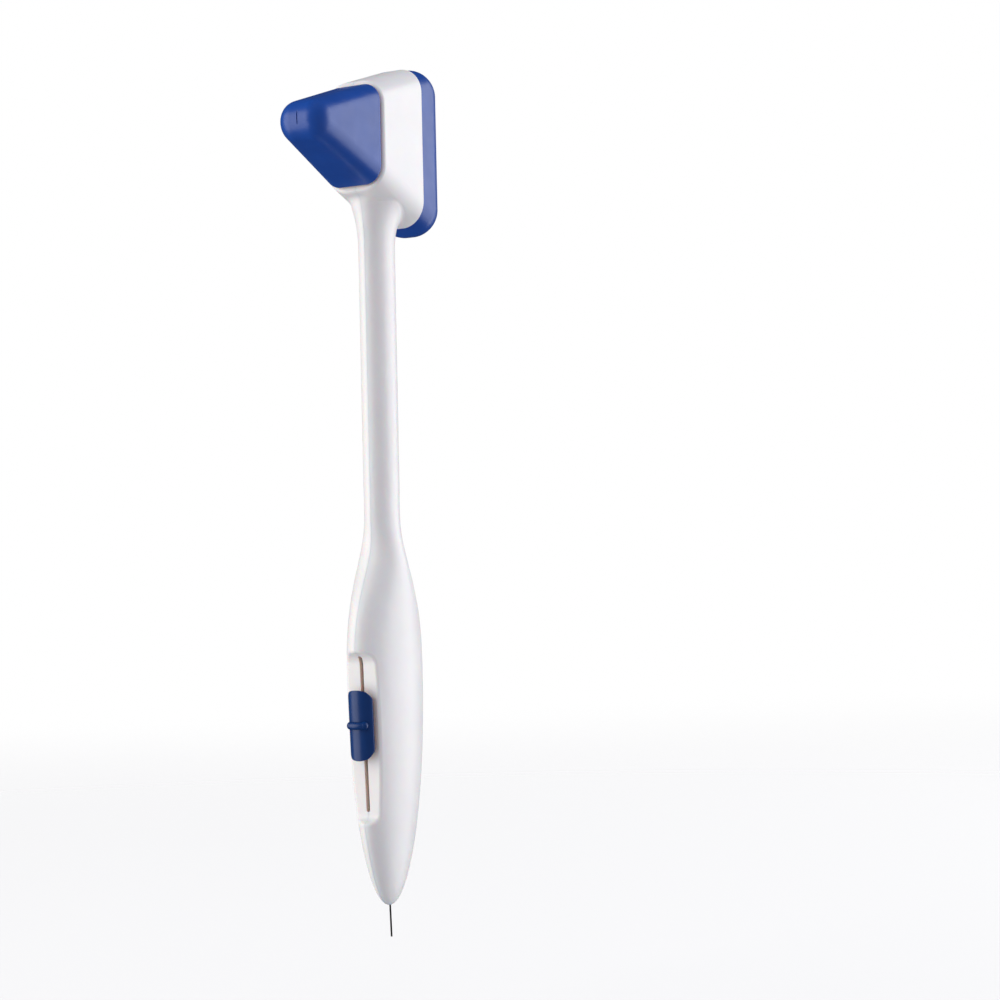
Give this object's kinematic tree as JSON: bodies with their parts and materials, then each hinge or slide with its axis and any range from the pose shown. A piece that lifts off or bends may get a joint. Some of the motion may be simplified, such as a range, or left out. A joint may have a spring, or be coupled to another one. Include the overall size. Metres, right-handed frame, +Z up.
{
  "type": "reflex hammer with retractable monofilament",
  "caption": "Wedge-headed percussion hammer with rubber striking ends, a paddle handle, and a thumb slide that pushes a fine test filament out of the handle's tip.",
  "frame": {"origin": "on the shaft's axis at the widest section of the handle, where the hand holds it", "axes": "+Z up the shaft from the handle's tip to the head, -X towards the pointed nose, +X towards the flat back, Y across the thickness"},
  "size_m": [0.0544, 0.016, 0.2065],
  "materials": {
    "white_shell": "satin moulded ABS",
    "blue_rubber": "matt thermoplastic rubber",
    "blue_plastic": "satin moulded ABS",
    "weight_steel": "sawn bar, zinc plated",
    "rod_steel": "drawn, bright",
    "spring_steel": "rolled strip",
    "tube_steel": "drawn needle tube",
    "ferrule_brass": "turned",
    "natural_acetal": "natural moulded acetal",
    "black_nylon": "drawn nylon filament"
  },
  "bodies": {
    "root": {"left_body_shell": "white_shell", "right_body_shell": "white_shell", "nose_bumper": "blue_rubber", "back_bumper": "blue_rubber", "head_weight": "weight_steel", "core_rod": "rod_steel", "guide_tube": "tube_steel", "tip_bush": "natural_acetal"},
    "slide": {"thumb_slide": "blue_plastic", "slide_pins": "rod_steel", "slide_carrier": "natural_acetal", "detent_spring": "spring_steel", "spring_rivet": "ferrule_brass", "filament_ferrule": "ferrule_brass", "monofilament": "black_nylon"}
  },
  "joints": [
    {"name": "filament_slide", "type": "slide", "parent": "root", "child": "slide", "axis": [0.0523, 0, -0.9986], "range_m": [-0.0077, 0.0126]}
  ]
}
